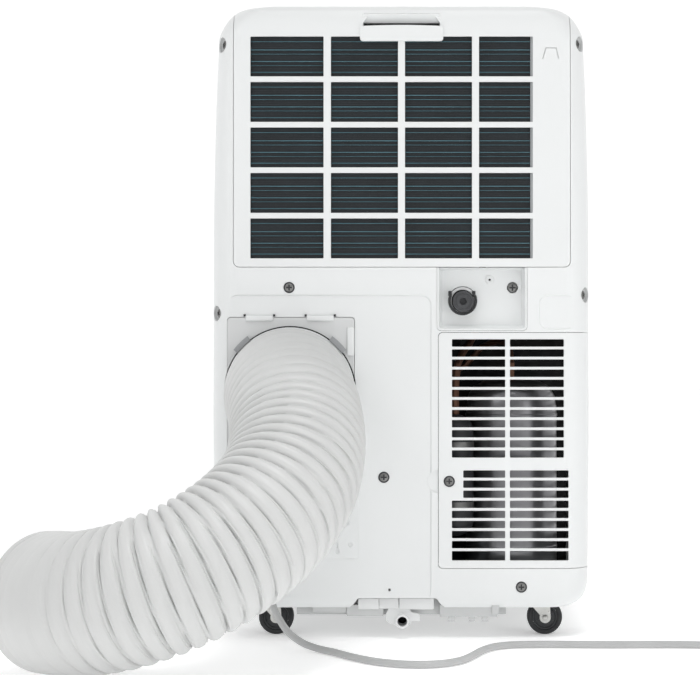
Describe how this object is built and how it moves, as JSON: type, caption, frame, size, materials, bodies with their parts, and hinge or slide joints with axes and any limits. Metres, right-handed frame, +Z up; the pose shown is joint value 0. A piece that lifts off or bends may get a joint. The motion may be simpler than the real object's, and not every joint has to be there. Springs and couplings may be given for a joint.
{
  "type": "portable air conditioner",
  "caption": "Upright white portable air conditioner on casters, with rear intake filter cover, condenser grille, corrugated exhaust hose, drains and mains cord.",
  "frame": {"origin": "on the floor under the middle of the machine's box, measured without the flexible hose and its cuff, the free cord, its coil and its plug", "axes": "+Z up, -Y towards the rear face with the filter and hose, +Y towards the front panel, +X to the right as seen from the rear"},
  "size_m": [0.9597, 0.7548, 0.754],
  "materials": {
    "white_housing": "satin white moulding",
    "dark_filter": "dark slate filter frame and mesh",
    "white_inner": "plain white moulding",
    "hose_plastic": "corrugated flexible plastic",
    "grey_plastic": "grey moulding",
    "cord_grey": "light grey cord sheath",
    "rubber_dark": "dark grey rubber",
    "tyre_dark": "dark hard tread",
    "zinc_steel": "zinc-plated steel",
    "aluminium_fins": "finned coil",
    "duct_foam": "moulded foam duct",
    "fan_plastic": "black blower wheel",
    "copper": null,
    "compressor_black": "gloss black enamel",
    "control_dark": "dark control strip",
    "display_black": "display window",
    "board_green": "circuit board"
  },
  "bodies": {
    "housing": {"rear_shell": "white_housing", "front_panel": "white_housing", "top_cover": "white_housing", "intake_bezel": "white_housing", "condenser_grille": "white_housing", "duct_panel": "white_housing", "hose_adapter": "white_housing", "exhaust_hose": "hose_plastic", "hose_cuff": "hose_plastic", "drain_pocket": "white_housing", "drain_stub": "white_inner", "lower_drain_spout": "white_inner", "base_pan": "grey_plastic", "screw_band": "zinc_steel", "screw_pocket": "zinc_steel", "screw_grille": "zinc_steel", "screw_middle": "zinc_steel", "screw_base": "zinc_steel", "strain_relief": "cord_grey", "power_cord": "cord_grey", "cord_coil": "cord_grey", "power_plug": "cord_grey", "evaporator_coil": "aluminium_fins", "evaporator_scroll": "duct_foam", "evaporator_motor": "zinc_steel", "drip_tray": "white_inner", "condenser_coil": "aluminium_fins", "condenser_scroll": "duct_foam", "condenser_motor": "zinc_steel", "compressor": "compressor_black", "accumulator": "copper", "suction_pipe": "copper", "discharge_pipe": "copper", "electrics_box": "grey_plastic", "outlet_duct": "white_housing", "control_panel": "control_dark", "display_lens": "display_black", "control_board": "board_green"},
    "filter_door": {"filter_cover": "white_housing", "air_filter": "dark_filter"},
    "drain_plug": {"drain_plug": "rubber_dark"},
    "outlet_flap": {"outlet_flap": "white_housing"},
    "evaporator_fan": {"evaporator_fan": "fan_plastic"},
    "condenser_fan": {"condenser_fan": "fan_plastic"},
    "vane_1": {"vane_1": "white_housing"},
    "vane_2": {"vane_2": "white_housing"},
    "vane_3": {"vane_3": "white_housing"},
    "vane_4": {"vane_4": "white_housing"},
    "button_1": {"button_1": "grey_plastic"},
    "button_2": {"button_2": "grey_plastic"},
    "button_3": {"button_3": "grey_plastic"},
    "button_4": {"button_4": "grey_plastic"},
    "fork_rear_left": {"caster_fork_rear_left": "zinc_steel"},
    "fork_rear_right": {"caster_fork_rear_right": "zinc_steel"},
    "fork_front_left": {"caster_fork_front_left": "zinc_steel"},
    "fork_front_right": {"caster_fork_front_right": "zinc_steel"},
    "wheel_rear_left": {"caster_wheel_rear_left": "tyre_dark"},
    "wheel_rear_right": {"caster_wheel_rear_right": "tyre_dark"},
    "wheel_front_left": {"caster_wheel_front_left": "tyre_dark"},
    "wheel_front_right": {"caster_wheel_front_right": "tyre_dark"}
  },
  "joints": [
    {"name": "filter_door_hinge", "type": "hinge", "parent": "housing", "child": "filter_door", "pos_m": [0, -0.1835, 0.446], "axis": [1, 0, 0], "range_deg": [0, 35]},
    {"name": "drain_plug_slide", "type": "slide", "parent": "housing", "child": "drain_plug", "axis": [0, -1, 0], "range_m": [0, 0.03]},
    {"name": "outlet_flap_hinge", "type": "hinge", "parent": "housing", "child": "outlet_flap", "pos_m": [0, -0.0337, 0.751], "axis": [1, 0, 0], "range_deg": [0, 80]},
    {"name": "evaporator_fan_spin", "type": "hinge", "parent": "housing", "child": "evaporator_fan", "pos_m": [-0.01, -0.086, 0.575], "axis": [0, 1, 0], "continuous": true},
    {"name": "condenser_fan_spin", "type": "hinge", "parent": "housing", "child": "condenser_fan", "pos_m": [-0.14, -0.03, 0.215], "axis": [1, 0, 0], "continuous": true},
    {"name": "vane_1_turn", "type": "hinge", "parent": "housing", "child": "vane_1", "pos_m": [-0.096, 0.006, 0.719], "axis": [0, 1, 0], "range_deg": [-30, 30]},
    {"name": "vane_2_turn", "type": "hinge", "parent": "housing", "child": "vane_2", "pos_m": [-0.032, 0.006, 0.719], "axis": [0, 1, 0], "range_deg": [-30, 30]},
    {"name": "vane_3_turn", "type": "hinge", "parent": "housing", "child": "vane_3", "pos_m": [0.032, 0.006, 0.719], "axis": [0, 1, 0], "range_deg": [-30, 30]},
    {"name": "vane_4_turn", "type": "hinge", "parent": "housing", "child": "vane_4", "pos_m": [0.096, 0.006, 0.719], "axis": [0, 1, 0], "range_deg": [-30, 30]},
    {"name": "button_1_press", "type": "slide", "parent": "housing", "child": "button_1", "axis": [0, 0, -1], "range_m": [0, 0.0012], "stiffness_N_per_m": 400},
    {"name": "button_2_press", "type": "slide", "parent": "housing", "child": "button_2", "axis": [0, 0, -1], "range_m": [0, 0.0012], "stiffness_N_per_m": 400},
    {"name": "button_3_press", "type": "slide", "parent": "housing", "child": "button_3", "axis": [0, 0, -1], "range_m": [0, 0.0012], "stiffness_N_per_m": 400},
    {"name": "button_4_press", "type": "slide", "parent": "housing", "child": "button_4", "axis": [0, 0, -1], "range_m": [0, 0.0012], "stiffness_N_per_m": 400},
    {"name": "swivel_rear_left", "type": "hinge", "parent": "housing", "child": "fork_rear_left", "pos_m": [-0.1612, -0.14, 0.045], "axis": [0, 0, 1], "continuous": true},
    {"name": "swivel_rear_right", "type": "hinge", "parent": "housing", "child": "fork_rear_right", "pos_m": [0.162, -0.14, 0.045], "axis": [0, 0, 1], "continuous": true},
    {"name": "swivel_front_left", "type": "hinge", "parent": "housing", "child": "fork_front_left", "pos_m": [-0.1612, 0.138, 0.045], "axis": [0, 0, 1], "continuous": true},
    {"name": "swivel_front_right", "type": "hinge", "parent": "housing", "child": "fork_front_right", "pos_m": [0.162, 0.138, 0.045], "axis": [0, 0, 1], "continuous": true},
    {"name": "roll_rear_left", "type": "hinge", "parent": "fork_rear_left", "child": "wheel_rear_left", "pos_m": [-0.1502, -0.14, 0.021], "axis": [0, 1, 0], "continuous": true},
    {"name": "roll_rear_right", "type": "hinge", "parent": "fork_rear_right", "child": "wheel_rear_right", "pos_m": [0.173, -0.14, 0.021], "axis": [0, 1, 0], "continuous": true},
    {"name": "roll_front_left", "type": "hinge", "parent": "fork_front_left", "child": "wheel_front_left", "pos_m": [-0.1502, 0.138, 0.021], "axis": [0, 1, 0], "continuous": true},
    {"name": "roll_front_right", "type": "hinge", "parent": "fork_front_right", "child": "wheel_front_right", "pos_m": [0.173, 0.138, 0.021], "axis": [0, 1, 0], "continuous": true}
  ],
  "couplings": [
    {"joint": "vane_2_turn", "follows": "vane_1_turn", "ratio": 1},
    {"joint": "vane_3_turn", "follows": "vane_1_turn", "ratio": 1},
    {"joint": "vane_4_turn", "follows": "vane_1_turn", "ratio": 1}
  ]
}
